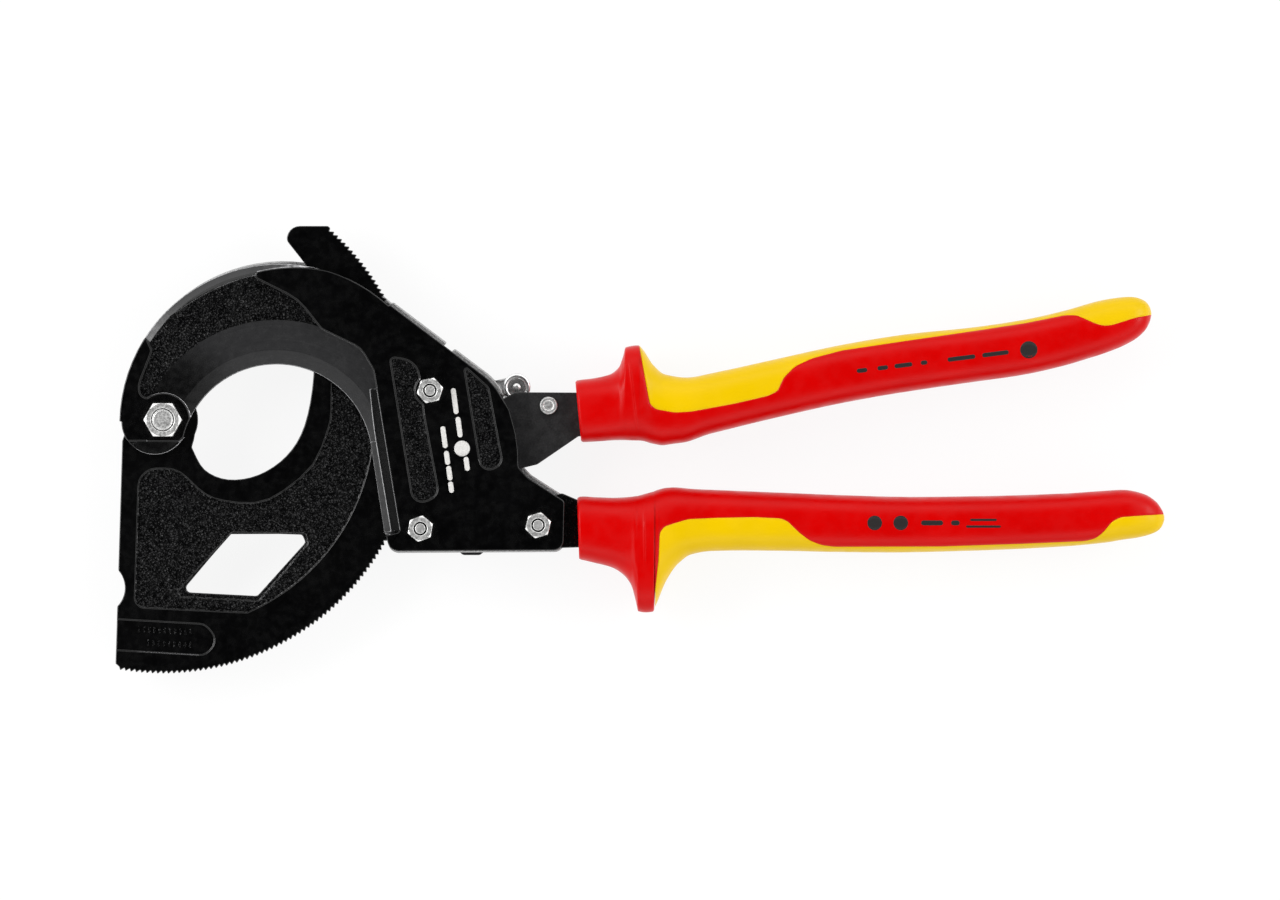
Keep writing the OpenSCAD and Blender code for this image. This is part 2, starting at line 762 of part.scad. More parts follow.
module handle_spring() {
  turns = 1;
  z = z_back + ear_t + wire_r + 0.05;
  pitch = 2 * wire_r + 0.02;
  reach = rivet_c - coil_c;
  rest_r = rivet_r + wire_r + 0.1;
  a1 = atan2(reach.y, reach.x) - 90 + asin((coil_r - rest_r) / norm(reach));
  a0 = -90 - 360 * turns;
  steps = 32;
  coil = [for (i = [0:steps * turns])
    let (a = a0 + (a1 - a0) * i / (steps * turns))
    [coil_c.x + coil_r * cos(a), coil_c.y + coil_r * sin(a), z + pitch * (a - a0) / 360]];
  z_top = coil[len(coil) - 1].z;
  leg = rivet_c + polar(rest_r, a1) + 1.6 * unit(reach);
  tail = coil[0] + 4.2 * [sin(a0), -cos(a0), 0];
  color("silver") placed() wire(concat([tail], coil, [[leg.x, leg.y, z_top]]), wire_r);
}

module spring_pin() {
  color("silver") placed() {
    post(coil_c, spring_pin_r, z_back, back_t - 0.6);
    translate([coil_c.x, coil_c.y, z_gap - 0.6 - e]) cylinder(r1 = spring_pin_r, r2 = 0.6, h = 0.4);
  }
}

// ---- grips ----

// Upper and lower edge of each grip as [distance from its front end, low, high, half thickness]
upper_stations = [
  [0, -6.3, 11.4, 9.6], [0.6, -6.7, 11.9, 10.2], [5, -6.5, 12.5, 10.5], [9.6, -6.2, 13.7, 10.9],
  [12.2, -6.1, 15.8, 11.3], [13.5, -6.1, 19.2, 11.8], [14.2, -6.1, 21.8, 12], [18.0, -6.2, 22.4, 12],
  [19.2, -6.3, 21.4, 11.8], [22.6, -7.2, 16.4, 10.8], [26, -7.6, 13.7, 10.4], [31, -6.9, 12.8, 10.2],
  [40, -4.1, 14.0, 10.2], [59.6, 0.7, 18.3, 10.3], [79, 5.0, 22.5, 10.4], [97, 8.2, 25.5, 10.4],
  [121, 11.7, 28.1, 10.2], [134, 13.6, 30.1, 10], [146, 16.3, 32.8, 9.8], [155, 19.0, 35.4, 9.6],
  [162, 21.5, 36.7, 9.2], [166.6, 23.8, 36.9, 8.4], [170, 26.6, 35.8, 6.6], [171.7, 29.6, 33.8, 3.4],
  [172.1, 31.4, 32.2, 1]
];
lower_stations = [
  [0, -41.7, -23.5, 9.6], [0.6, -42.0, -23.1, 10.2], [5, -43.0, -23.2, 10.5], [9.8, -44.2, -23.4, 10.9],
  [13.2, -46.2, -23.3, 11.2], [15.8, -49.4, -23.1, 11.6], [17.3, -54.4, -22.9, 12], [18.0, -57.5, -22.8, 12],
  [22.4, -57.6, -21.6, 12], [23.6, -55.0, -21.1, 11.7], [26.5, -48.2, -20.4, 11], [30, -43.2, -20.3, 10.5],
  [34, -40.4, -20.7, 10.2], [40, -39.4, -21.0, 10.2], [59.6, -39.3, -21.8, 10.3], [79, -39.7, -22.6, 10.4],
  [97, -39.8, -23.1, 10.4], [121, -39.2, -22.9, 10.2], [146, -38.0, -22.1, 9.8], [158, -36.9, -21.3, 9.4],
  [165, -35.8, -21.1, 8.8], [170, -34.9, -22.3, 7.6], [173.6, -33.6, -24.6, 5.6], [175.4, -31.8, -27.2, 3],
  [176, -30.2, -28.8, 1]
];

function full_length(stations) = stations[len(stations) - 1].x;

// The hand guard keeps its shape, and the stretch behind it takes up the grip's length
function stretched(s, full, length) =
  s <= guard_l ? s : guard_l + (s - guard_l) * (length - guard_l) / (full - guard_l);

module loft(stations, length) {
  sides = 20;
  full = full_length(stations);
  square_power = 0.72;
  function bulge(v) = sign(v) * pow(abs(v), square_power);
  rings = [
    for (s = stations, k = [0:sides - 1])
      let (a = 360 * (k + 0.5) / sides, mid = (s[1] + s[2]) / 2, half = (s[2] - s[1]) / 2)
      [grip_x + stretched(s.x, full, length), mid + half * bulge(cos(a)),
        z_mid + s[3] * grip_t / 24 * bulge(sin(a))]
  ];
  n = len(stations);
  walls = [
    for (i = [0:n - 2], k = [0:sides - 1])
      let (a = i * sides + k, b = i * sides + (k + 1) % sides)
      each [[a, a + sides, b + sides], [a, b + sides, b]]
  ];
  caps = [[for (k = [0:sides - 1]) k], [for (k = [sides - 1:-1:0]) (n - 1) * sides + k]];
  polyhedron(rings, concat(walls, caps), convexity = 8);
}

// Border between the two colours of a grip, from the guard to the end of the grip
upper_border = [
  [18.2, 24], [18.6, 20.6], [20.4, 10.6], [21.5, 4.8], [23.2, 3.2], [29, 2.2], [34, 2.5], [46.6, 4.8],
  [57, 7.2], [59.8, 8.6], [61.6, 12.6], [65, 16], [70, 18.4], [79, 20.8], [97, 23.5], [121, 27],
  [134, 29.0], [146, 31.4], [149.4, 31.4], [155, 28.9], [157.6, 28.2], [160, 28.4], [167, 30.6], [180, 33]
];
lower_border = [
  [22.6, -62], [23, -52], [24.2, -41], [24.4, -34], [25.8, -32.0], [29, -31], [33, -29.8], [42, -29.4],
  [53, -29.2], [61, -29.6], [63, -30.6], [66, -33.6], [69.4, -36.2], [73, -37.6], [77, -38.1],
  [109, -38.0], [133, -37.2], [152, -36.4], [155.2, -35.6], [157.6, -33.6], [160, -30.6], [162.6, -29.2],
  [168, -28.8], [182, -28]
];

module yellow_zone(border, length, full, outside) {
  translate([0, 0, -1]) linear_extrude(grip_t + 4) flat(concat(
    [for (p = border) [grip_x + stretched(p.x, full, length), p.y]],
    [[grip_x + length + 20, outside], [grip_x + border[0].x, outside]]
  ));
}

module upper_loft() {
  difference() {
    loft(upper_stations, upper_grip_l);
    slab(z_moving - 0.05, blade_t + 0.1) flat(upper_core_outline(0.05));
  }
}

module lower_loft() {
  difference() {
    loft(lower_stations, lower_grip_l);
    slab(z_gap - 0.05, gap + 0.1) flat(lower_core_outline(0.05));
  }
}

module upper_grip_red() {
  color([0.85, 0.02, 0.02]) placed() difference() {
    upper_loft();
    yellow_zone(upper_border, upper_grip_l, full_length(upper_stations), 90);
  }
}

module upper_grip_yellow() {
  color([0.98, 0.8, 0]) placed() intersection() {
    upper_loft();
    yellow_zone(upper_border, upper_grip_l, full_length(upper_stations), 90);
  }
}

module lower_grip_red() {
  color([0.85, 0.02, 0.02]) placed() difference() {
    lower_loft();
    yellow_zone(lower_border, lower_grip_l, full_length(lower_stations), -90);
  }
}

module lower_grip_yellow() {
  color([0.98, 0.8, 0]) placed() intersection() {
    lower_loft();
    yellow_zone(lower_border, lower_grip_l, full_length(lower_stations), -90);
  }
}

front_frame();
back_frame();
rear_cover();
moving_blade();
pivot_bush();
pivot_bolt();
pivot_nut();
frame_bolts();
frame_nuts();
spacer_sleeves();
handle_lever();
lever_pin();
lever_rivet();
drive_pawl();
drive_pawl_spring();
holding_pawl();
holding_pawl_spring();
release_lever();
release_pin();
fixed_tang();
tang_dowel();
stop_pin();
handle_spring();
spring_pin();
upper_grip_red();
upper_grip_yellow();
lower_grip_red();
lower_grip_yellow();
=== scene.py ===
"""Looks of a ratchet cable cutter that lies on its back on a pale floor.

The CAD nodes give every metal piece its shape; here they get rounded edges and worn, painted or plated
finishes.
The rounded edges are made lighter, partly by wear and partly as a painted highlight. The grips are rebuilt as
smooth two-colour mouldings round the same sections, the handle spring as round wire, and the printed marks as
thin plain shapes. Lengths are metres.
"""

import json
import math

import bmesh
import bpy
import numpy as np
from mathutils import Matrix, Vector


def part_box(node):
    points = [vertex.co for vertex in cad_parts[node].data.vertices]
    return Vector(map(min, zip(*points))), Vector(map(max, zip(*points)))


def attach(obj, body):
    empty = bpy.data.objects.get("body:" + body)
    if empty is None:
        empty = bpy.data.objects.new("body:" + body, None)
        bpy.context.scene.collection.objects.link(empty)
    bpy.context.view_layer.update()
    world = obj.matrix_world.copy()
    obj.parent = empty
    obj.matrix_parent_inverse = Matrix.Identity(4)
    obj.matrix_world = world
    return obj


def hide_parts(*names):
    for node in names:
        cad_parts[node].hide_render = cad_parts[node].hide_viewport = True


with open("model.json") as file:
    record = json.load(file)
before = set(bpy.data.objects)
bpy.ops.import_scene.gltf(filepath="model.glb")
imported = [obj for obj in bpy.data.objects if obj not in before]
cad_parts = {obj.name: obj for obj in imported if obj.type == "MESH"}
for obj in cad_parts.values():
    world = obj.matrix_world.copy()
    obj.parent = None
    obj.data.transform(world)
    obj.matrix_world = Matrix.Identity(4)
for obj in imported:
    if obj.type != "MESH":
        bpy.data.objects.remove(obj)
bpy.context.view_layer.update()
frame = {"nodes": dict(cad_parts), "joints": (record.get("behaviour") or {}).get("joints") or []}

MM = 0.001
joints = {j["name"]: Vector(j["pos_m"]) for j in frame["joints"]}
pivot = joints["blade_pivot"]


def at(x, y):
    """A point of the drawing, in millimetres from the blade's pivot, in the row frame."""
    return Vector((pivot.x + x * MM, pivot.y + y * MM))


def top_of(node):
    """Height of the top of a CAD node's box."""
    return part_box(node)[1].z


def middle_of(*nodes):
    """Middle of the box of some CAD nodes."""
    low = np.min([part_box(n)[0] for n in nodes], axis=0)
    high = np.max([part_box(n)[1] for n in nodes], axis=0)
    return Vector((low + high) / 2)


# ---- levels and places that the finishes refer to ----

BODY_PANEL_DEPTH = 0.6 * MM
BLADE_PANEL_DEPTH = 0.9 * MM
THUMB_PANEL_DEPTH = 0.5 * MM
HOOP_THICKNESS = 4.0 * MM

BODY_TOP = top_of("front_frame")
SUNK_PANEL = BODY_TOP - BODY_PANEL_DEPTH
HOOP_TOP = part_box("front_frame")[0].z + HOOP_THICKNESS
BACK_TOP = top_of("back_frame")
BLADE_TOP = top_of("moving_blade")
BLADE_PANEL = BLADE_TOP - BLADE_PANEL_DEPTH
BITE_CENTRE = at(33.9, -12)


# ---- materials ----


class Finish:
    """One procedural material round a Principled shader, in the object's own coordinates."""

    def __init__(self, name, colour, roughness, metallic=0.0, specular=0.5):
        self.material = bpy.data.materials.new(name)
        self.material.use_nodes = True
        self.tree = self.material.node_tree
        self.shader = self.tree.nodes["Principled BSDF"]
        self.shader.inputs["Base Color"].default_value = (*colour, 1)
        self.shader.inputs["Roughness"].default_value = roughness
        self.shader.inputs["Metallic"].default_value = metallic
        self.shader.inputs["Specular IOR Level"].default_value = specular
        self.place = self.new("ShaderNodeTexCoord").outputs["Object"]
        self.relief = None

    def new(self, kind, **settings):
        node = self.tree.nodes.new(kind)
        for key, value in settings.items():
            setattr(node, key, value)
        return node

    def feed(self, socket, value):
        if isinstance(value, bpy.types.NodeSocket):
            self.tree.links.new(value, socket)
        else:
            socket.default_value = value

    def calc(self, operation, *values, clamp=False):
        node = self.new("ShaderNodeMath", operation=operation, use_clamp=clamp)
        for socket, value in zip(node.inputs, values):
            self.feed(socket, value)
        return node.outputs[0]

    def noise(self, grain, detail=2.0, roughness=0.5, stretch=(1, 1, 1)):
        """Noise from 0 to 1 with grains of that size in metres, longer on an axis whose stretch is below 1."""
        mapped = self.new("ShaderNodeMapping")
        self.feed(mapped.inputs["Vector"], self.place)
        mapped.inputs["Scale"].default_value = stretch
        node = self.new("ShaderNodeTexNoise")
        self.feed(node.inputs["Vector"], mapped.outputs[0])
        node.inputs["Scale"].default_value = 1 / grain
        node.inputs["Detail"].default_value = detail
        node.inputs["Roughness"].default_value = roughness
        return node.outputs[0]

    def cells(self, grain):
        """Distance to the nearest cell centre, for hammered and orange-peel surfaces."""
        node = self.new("ShaderNodeTexVoronoi", feature="SMOOTH_F1")
        self.feed(node.inputs["Vector"], self.place)
        node.inputs["Scale"].default_value = 1 / grain
        return node.outputs["Distance"]

    def span(self, value, low, high, to_low=0.0, to_high=1.0):
        """Value, as it goes from low to high, mapped smoothly to another span."""
        node = self.new("ShaderNodeMapRange", interpolation_type="SMOOTHSTEP")
        for name, x in (
            ("Value", value), ("From Min", low), ("From Max", high),
            ("To Min", to_low), ("To Max", to_high),
        ):
            self.feed(node.inputs[name], x)
        return node.outputs[0]

    def between(self, value, rise, fall):
        """1 from the end of the rise to the start of the fall, each a pair of values, and 0 outside them."""
        return self.calc("MULTIPLY", self.span(value, *rise), self.span(value, *fall, 1.0, 0.0))

    def at_level(self, z, level):
        """1 where the height z is on that level."""
        inner, outer = 0.05 * MM, 0.1 * MM
        return self.between(z, (level - outer, level - inner), (level + inner, level + outer))

    def mix(self, share, a, b):
        """Colour a, or b where the share is 1."""
        node = self.new("ShaderNodeMix", data_type="RGBA")
        self.feed(node.inputs[0], share)
        for socket, value in ((node.inputs[6], a), (node.inputs[7], b)):
            self.feed(socket, value if isinstance(value, bpy.types.NodeSocket) else (*value, 1))
        return node.outputs[2]

    def height(self):
        """Height of the point in the row frame."""
        parts = self.new("ShaderNodeSeparateXYZ")
        self.feed(parts.inputs[0], self.place)
        return parts.outputs[2]

    def tilt(self):
        """How far the surface leans from facing up or down: 0 flat, 1 a wall."""
        parts = self.new("ShaderNodeSeparateXYZ")
        self.feed(parts.inputs[0], self.new("ShaderNodeNewGeometry").outputs["Normal"])
        return self.calc("SUBTRACT", 1.0, self.calc("ABSOLUTE", parts.outputs[2]))

    def flats(self, share=1.0):
        """The share on faces that face straight up or down, and 0 elsewhere."""
        return self.span(self.tilt(), 0.002, 0.02, share, 0.0)

    def from_centre(self, centre):
        """Distance in plan from a centre."""
        parts = self.new("ShaderNodeSeparateXYZ")
        self.feed(parts.inputs[0], self.place)
        x = self.calc("SUBTRACT", parts.outputs[0], centre.x)
        y = self.calc("SUBTRACT", parts.outputs[1], centre.y)
        return self.calc("SQRT", self.calc("ADD", self.calc("MULTIPLY", x, x), self.calc("MULTIPLY", y, y)))

    def bump(self, height, depth, strength=1.0):
        """Adds relief of that depth in metres."""
        node = self.new("ShaderNodeBump")
        node.inputs["Distance"].default_value = depth
        self.feed(node.inputs["Strength"], strength)
        self.feed(node.inputs["Height"], height)
        if self.relief:
            self.tree.links.new(self.relief, node.inputs["Normal"])
        self.relief = node.outputs[0]
        self.tree.links.new(self.relief, self.shader.inputs["Normal"])

    def current(self, name):
        """What feeds a socket of the shader so far."""
        return self.shader.inputs[name].links[0].from_socket

    def colour(self, value):
        self.feed(self.shader.inputs["Base Color"], value)

    def roughness(self, value):
        self.feed(self.shader.inputs["Roughness"], value)

    def worn_and_highlit_edges(self, base, bare, share):
        """Paint rubbed thin on the rounded edges, and only there: lighter and metallic, partly as wear and
        partly as a painted highlight along the edges.
        """
        on_edge = self.between(self.tilt(), (0.14, 0.2), (0.42, 0.52))
        patches = self.span(self.noise(1.3 * MM, 3), 0.3, 0.6, 0.4, share)
        rubbed_and_highlit = self.calc("MULTIPLY", on_edge, patches)
        self.colour(self.mix(rubbed_and_highlit, base, bare))
        self.feed(self.shader.inputs["Metallic"], self.calc("MULTIPLY", rubbed_and_highlit, 0.85))


def casting(name, textured, fine=0.55 * MM):
    """Black paint on a casting: fine orange peel all over, and hammered grain where textured says."""
    f = Finish(name, (0.001, 0.001, 0.0011), 0.27, specular=0.36)
    patchy = f.span(f.noise(9 * MM, 3), 0.35, 0.65)
    base = f.mix(patchy, (0.0004, 0.0004, 0.0005), (0.0011, 0.0011, 0.0012))
    speckle = f.span(f.noise(0.42 * MM, 2, 0.6), 0.53, 0.7)
    grey = f.mix(speckle, (0.0004, 0.0004, 0.0005), (0.032, 0.032, 0.033))
    zone = textured(f)
    # rounded edges lighter and metallic: partly worn paint, partly a painted highlight
    f.worn_and_highlit_edges(f.mix(zone, base, grey), (0.56, 0.56, 0.57), 0.95)
    f.roughness(f.span(f.noise(2.2 * MM, 4), 0.3, 0.7, 0.18, 0.29))
    f.bump(f.noise(fine, 2), 0.03 * MM, 0.5)
    f.bump(f.cells(0.8 * MM), 0.4 * MM, f.calc("MULTIPLY", zone, 0.75))
    return f


def frame_zones(f):
    """Sunk panels of the body and the flat of the hoop."""
    z = f.height()
    zones = f.calc("ADD", f.at_level(z, SUNK_PANEL), f.at_level(z, HOOP_TOP), clamp=True)
    return f.calc("MULTIPLY", f.flats(), zones)


def plain_zones(f):
    """All flats of a plain casting, grained by less than half."""
    return f.flats(0.45)


def front_casting():
    """The front frame's paint, with the bevel along the hole ground to a smooth dark grey."""
    f = casting("front_casting", frame_zones)
    shade = f.current("Base Color")
    slope = f.between(f.tilt(), (0.008, 0.02), (0.12, 0.16))
    below = f.span(f.height(), HOOP_TOP - 0.02 * MM, HOOP_TOP + 0.02 * MM, 1.0, 0.0)
    ground = f.calc("MULTIPLY", slope, below)
    rings = f.new("ShaderNodeTexNoise", noise_dimensions="1D")
    f.feed(rings.inputs["W"], f.calc("MULTIPLY", f.from_centre(BITE_CENTRE), 1 / (0.5 * MM)))
    rings.inputs["Scale"].default_value = 1.0
    streaks = f.calc("MULTIPLY", f.calc("ADD", rings.outputs[0], f.noise(0.4 * MM, 3)), 0.5)
    grey = f.mix(streaks, (0.011, 0.011, 0.0115), (0.024, 0.024, 0.025))
    far = f.span(f.from_centre(pivot), 13 * MM, 30 * MM)
    f.colour(f.mix(f.calc("MULTIPLY", ground, far), shade, grey))
    return f


def back_casting():
    """The back frame's paint; the face that the blade slides on and the spring's ear are bare steel."""
    f = casting("back_frame_casting", plain_zones)
    shade = f.current("Base Color")
    # metal of the rubbed edges: partly wear, partly a painted highlight
    rubbed_and_highlit = f.current("Metallic")
    face = f.span(f.height(), BACK_TOP - 0.35 * MM, BACK_TOP - 0.2 * MM)
    ear = f.span(f.from_centre(middle_of("spring_pin")), 5.0 * MM, 6.5 * MM, 1.0, 0.0)
    bare = f.calc("MAXIMUM", face, ear)
    f.colour(f.mix(bare, shade, f.mix(f.noise(0.6 * MM, 3), (0.3, 0.3, 0.3), (0.5, 0.5, 0.5))))
    f.feed(f.shader.inputs["Metallic"], f.calc("MAXIMUM", rubbed_and_highlit, f.calc("MULTIPLY", bare, 0.7)))
    f.roughness(f.calc("ADD", 0.27, f.calc("MULTIPLY", bare, 0.25)))
    return f


def blade_zones(f):
    """The sunk floor of the blade's panel."""
    return f.span(f.height(), BLADE_PANEL + 0.05 * MM, BLADE_PANEL + 0.15 * MM, 1.0, 0.0)


def shaded(colour, share):
    return tuple(share * c for c in colour)


def steel(name, colour, roughness):
    """Bright plated steel with cloudy dulling and fine marks."""
    f = Finish(name, colour, roughness, metallic=1.0)
    cloud = f.span(f.noise(1.4 * MM, 3, 0.55), 0.25, 0.75)
    f.colour(f.mix(cloud, shaded(colour, 0.86), shaded(colour, 1.08)))
    f.roughness(f.span(f.noise(0.6 * MM, 4), 0.25, 0.75, roughness - 0.07, roughness + 0.1))
    f.bump(f.noise(0.35 * MM, 3, 0.6), 0.02 * MM, 0.5)
    f.bump(f.noise(0.16 * MM, 2, stretch=(1, 0.08, 1)), 0.012 * MM, 0.5)
    return f


def bolt_with_painted_shade(name, node):
    """A plated bolt whose thread is painted dark between its head and its tip, as painted shade in the ring of
    the nut round it.
    """
    f = steel(name, ZINC, ZINC_ROUGHNESS)
    shade = f.current("Base Color")
    low, high = (corner.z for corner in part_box(node))
    middle = (low + high) / 2
    dark = f.between(f.height(), (middle, middle + MM), (high - 0.3 * MM, high - 0.2 * MM))
    f.colour(f.mix(dark, shade, RECESS_PAINTED_SHADE))
    return f


def nut_with_painted_shade(name, node, depth):
    """A plated nut with the floor of the ring round its bolt painted dark, as painted shade."""
    f = steel(name, ZINC, ZINC_ROUGHNESS)
    shade = f.current("Base Color")
    away = f.calc("ABSOLUTE", f.calc("SUBTRACT", f.height(), top_of(node) - depth))
    level = f.span(f.tilt(), 0.02, 0.06, 1.0, 0.0)
    floor = f.calc("MULTIPLY", f.span(away, 0.1 * MM, 0.2 * MM, 1.0, 0.0), level)
    f.colour(f.mix(floor, shade, RECESS_PAINTED_SHADE))
    return f


def dark_steel(name, colour):
    """Phosphated steel: dark, satin, with a fine speckle and faint grinding marks."""
    f = Finish(name, colour, 0.46, metallic=0.25, specular=0.4)
    speckle = f.span(f.noise(0.45 * MM, 3, 0.7), 0.35, 0.7)
    base = f.mix(speckle, shaded(colour, 0.62), shaded(colour, 1.5))
    # rounded edges lighter: partly worn phosphate, partly a painted highlight
    f.worn_and_highlit_edges(base, (0.3, 0.3, 0.31), 0.6)
    f.roughness(f.span(f.noise(3 * MM, 3), 0.3, 0.7, 0.4, 0.54))
    f.bump(f.noise(0.3 * MM, 3), 0.03 * MM, 0.55)
    f.bump(f.noise(0.2 * MM, 1, stretch=(0.05, 1, 1)), 0.012 * MM, 0.5)
    return f


def plastic(name, colour, shadow, roughness):
    """Satin moulded plastic: spark-eroded grain on the flat of the grip, smoother sides, slight clouding."""
    f = Finish(name, colour, roughness, specular=0.12)
    grained = f.span(f.tilt(), 0.03, 0.14, 1.0, 0.25)
    cloud = f.span(f.noise(14 * MM, 3), 0.3, 0.7)
    f.colour(f.mix(cloud, shadow, colour))
    f.roughness(f.span(f.noise(4 * MM, 4), 0.3, 0.7, roughness - 0.06, roughness + 0.08))
    f.bump(f.noise(0.42 * MM, 2, 0.6), 0.035 * MM, f.calc("MULTIPLY", grained, 0.7))
    f.bump(f.noise(0.16 * MM, 1), 0.012 * MM, 0.5)
    return f


def ink(name, colour):
    """Pad-printed ink, slightly thin and broken at the grain."""
    f = Finish(name, colour, 0.55, specular=0.3)
    f.colour(f.mix(f.span(f.noise(0.4 * MM, 3), 0.3, 0.7), shaded(colour, 0.78), colour))
    f.bump(f.noise(0.35 * MM, 2), 0.02 * MM, 0.5)
    return f


ZINC = (0.76, 0.76, 0.75)
ZINC_ROUGHNESS = 0.44
# dark colour painted on the bolts' threads and in the pivot nut's ring as painted shade in those recesses
RECESS_PAINTED_SHADE = (0.008, 0.008, 0.008)
NUT_RING_DEPTH = 0.6 * MM

FINISHES = {
    "front": front_casting(),
    "back": casting("cover_casting", plain_zones),
    "back_frame": back_casting(),
    "relief": casting("relief_casting", lambda f: 1.0),
    "blade": casting("blade_casting", blade_zones, 0.7 * MM),
    "tang": dark_steel("tang_phosphate", (0.0098, 0.0098, 0.0103)),
    "pawl": steel("pawl_steel", (0.33, 0.33, 0.35), 0.36),
    "zinc": steel("zinc_plating", ZINC, ZINC_ROUGHNESS),
    "frame_bolts": bolt_with_painted_shade("frame_bolt_plating", "frame_bolts"),
    "pivot_bolt": bolt_with_painted_shade("pivot_bolt_plating", "pivot_bolt"),
    "pivot_nut": nut_with_painted_shade("pivot_nut_plating", "pivot_nut", NUT_RING_DEPTH),
    "spring": steel("spring_wire", (0.85, 0.85, 0.85), 0.34),
    "red": plastic("red_moulding", (0.5, 0.0, 0.0), (0.47, 0.0, 0.0), 0.34),
    "yellow": plastic("yellow_moulding", (0.66, 0.43, 0.0), (0.63, 0.41, 0.0), 0.36),
    "white_ink": ink("white_ink", (0.62, 0.61, 0.59)),
    "black_ink": ink("black_ink", (0.012, 0.01, 0.01)),
}


def dress(obj, finish):
    obj.data.materials.clear()
    obj.data.materials.append(FINISHES[finish].material)


# ---- CAD nodes: rounded edges and finishes ----

# each node's finish and the width of its rounded edges in millimetres
DRESSED = {
    "front_frame": ("front", 0.28), "back_frame": ("back_frame", 0.4), "rear_cover": ("back", 0.25),
    "moving_blade": ("blade", 0.25), "pivot_bush": ("zinc", 0.15), "pivot_bolt": ("pivot_bolt", 0.2),
    "pivot_nut": ("pivot_nut", 0.2), "frame_bolts": ("frame_bolts", 0.15), "frame_nuts": ("zinc", 0.2),
    "spacer_sleeves": ("zinc", 0.15), "handle_lever": ("tang", 0.25), "lever_pin": ("zinc", 0.2),
    "lever_rivet": ("zinc", 0.15), "drive_pawl": ("pawl", 0.12), "drive_pawl_spring": ("spring", 0.0),
    "holding_pawl": ("pawl", 0.12), "holding_pawl_spring": ("spring", 0.0),
    "release_lever": ("tang", 0.2), "release_pin": ("zinc", 0.15), "fixed_tang": ("back", 0.25),
    "tang_dowel": ("zinc", 0.2), "stop_pin": ("zinc", 0.2), "spring_pin": ("zinc", 0.1),
}


def slope_creases():
    """Node tree that keeps shallow creases between slopes crisp, and corners of upright walls smooth."""
    tree = bpy.data.node_groups.new("slope_creases", "GeometryNodeTree")
    for way in ("INPUT", "OUTPUT"):
        tree.interface.new_socket("Geometry", in_out=way, socket_type="NodeSocketGeometry")

    def new(kind, **settings):
        node = tree.nodes.new(kind)
        for key, value in settings.items():
            setattr(node, key, value)
        return node

    def compare(value, operation, limit):
        node = new("FunctionNodeCompare", data_type="FLOAT", operation=operation)
        tree.links.new(value, node.inputs["A"])
        node.inputs["B"].default_value = limit
        return node.outputs[0]

    def both(a, b):
        node = new("FunctionNodeBooleanMath", operation="AND")
        tree.links.new(a, node.inputs[0])
        tree.links.new(b, node.inputs[1])
        return node.outputs[0]

    ends = new("GeometryNodeInputMeshEdgeVertices")
    span = new("ShaderNodeVectorMath", operation="SUBTRACT")
    tree.links.new(ends.outputs["Position 1"], span.inputs[0])
    tree.links.new(ends.outputs["Position 2"], span.inputs[1])
    way = new("ShaderNodeVectorMath", operation="NORMALIZE")
    tree.links.new(span.outputs[0], way.inputs[0])
    parts = new("ShaderNodeSeparateXYZ")
    tree.links.new(way.outputs[0], parts.inputs[0])
    rise = new("ShaderNodeMath", operation="ABSOLUTE")
    tree.links.new(parts.outputs[2], rise.inputs[0])
    angle = new("GeometryNodeInputMeshEdgeAngle").outputs["Unsigned Angle"]
    level = compare(rise.outputs[0], "LESS_THAN", 0.2)
    crisp = both(level, both(
        compare(angle, "GREATER_THAN", math.radians(3.5)), compare(angle, "LESS_THAN", BEVEL_FROM)
    ))
    shade = new("GeometryNodeSetShadeSmooth", domain="EDGE")
    shade.inputs["Shade Smooth"].default_value = False
    tree.links.new(crisp, shade.inputs["Selection"])
    tree.links.new(new("NodeGroupInput").outputs[0], shade.inputs["Geometry"])
    tree.links.new(shade.outputs[0], new("NodeGroupOutput").inputs[0])
    return tree


BEVEL_FROM = math.radians(31)
CREASES = slope_creases()


def round_edges(obj, width):
    """Joins the facets of each flat face, rounds the edges between faces and keeps the flats flat."""
    weld = obj.modifiers.new("weld", "WELD")
    weld.merge_threshold = 0.002 * MM
    flats = obj.modifiers.new("flats", "DECIMATE")
    flats.decimate_type = "DISSOLVE"
    flats.angle_limit = math.radians(1)
    obj.modifiers.new("creases", "NODES").node_group = CREASES
    if width:
        bevel = obj.modifiers.new("bevel", "BEVEL")
        bevel.width = width * MM
        bevel.segments = 2
        bevel.limit_method = "ANGLE"
        bevel.angle_limit = BEVEL_FROM
        bevel.use_clamp_overlap = False
        bevel.miter_outer = "MITER_ARC"
    normals = obj.modifiers.new("normals", "WEIGHTED_NORMAL")
    normals.keep_sharp = True
    normals.weight = 60


for node, (finish, width) in DRESSED.items():
    dress(frame["nodes"][node], finish)
    round_edges(frame["nodes"][node], width)


# ---- mesh helpers ----


def piece(name, rings, finish, body):
    """A capped skin over rings of equally many points, riding on a CAD body."""
    shape = bmesh.new()
    rows = [[shape.verts.new(p) for p in ring] for ring in rings]
    count = len(rows[0])
    for a, b in zip(rows, rows[1:]):
        for k in range(count):
            shape.faces.new((a[k], a[(k + 1) % count], b[(k + 1) % count], b[k]))
    shape.faces.new(rows[0][::-1])
    shape.faces.new(rows[-1])
    return finished(name, shape, finish, body)


